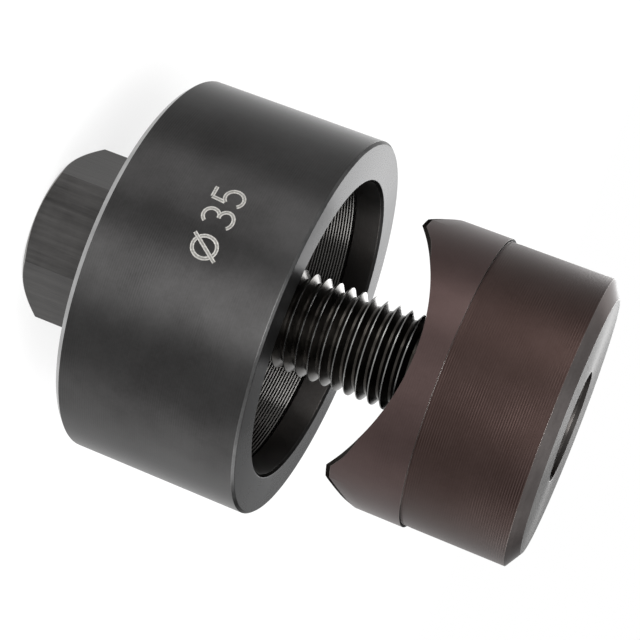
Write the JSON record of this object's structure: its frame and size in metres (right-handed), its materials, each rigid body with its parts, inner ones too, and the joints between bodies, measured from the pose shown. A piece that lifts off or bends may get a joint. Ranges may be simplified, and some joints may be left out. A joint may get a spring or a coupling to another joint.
{
  "type": "knockout punch",
  "caption": "Screw-drawn hole punch for sheet metal: a hex-headed threaded stud runs through a cup-shaped die and pulls a round punch with a hollowed cutting end into it.",
  "frame": {"origin": "centre of the hexagon head's end face, on which the tool stands", "axes": "+Z along the tool's axis from the head to the punch, the two cutting tips lie along +X and -X"},
  "size_m": [0.046, 0.046, 0.065],
  "materials": {
    "stud_steel": "oiled black steel with a bright-crested thread",
    "die_steel": "blackened turned steel, bright at the ground face and the edges",
    "punch_steel": "brown-black hardened steel with fine turning marks"
  },
  "bodies": {
    "die": {"die": "die_steel"},
    "stud": {"draw_stud": "stud_steel"},
    "punch": {"punch": "punch_steel"}
  },
  "joints": [
    {"name": "punch_feed", "type": "slide", "parent": "die", "child": "punch", "axis": [0, 0, 1], "range_m": [-0.0222, 0.0135]},
    {"name": "stud_turn", "type": "hinge", "parent": "die", "child": "stud", "pos_m": [0, 0, 0.012], "axis": [0, 0, 1], "range_deg": [-3241, 5329]}
  ],
  "couplings": [
    {"joint": "stud_turn", "follows": "punch_feed", "rad_per_m": -4188.8}
  ]
}
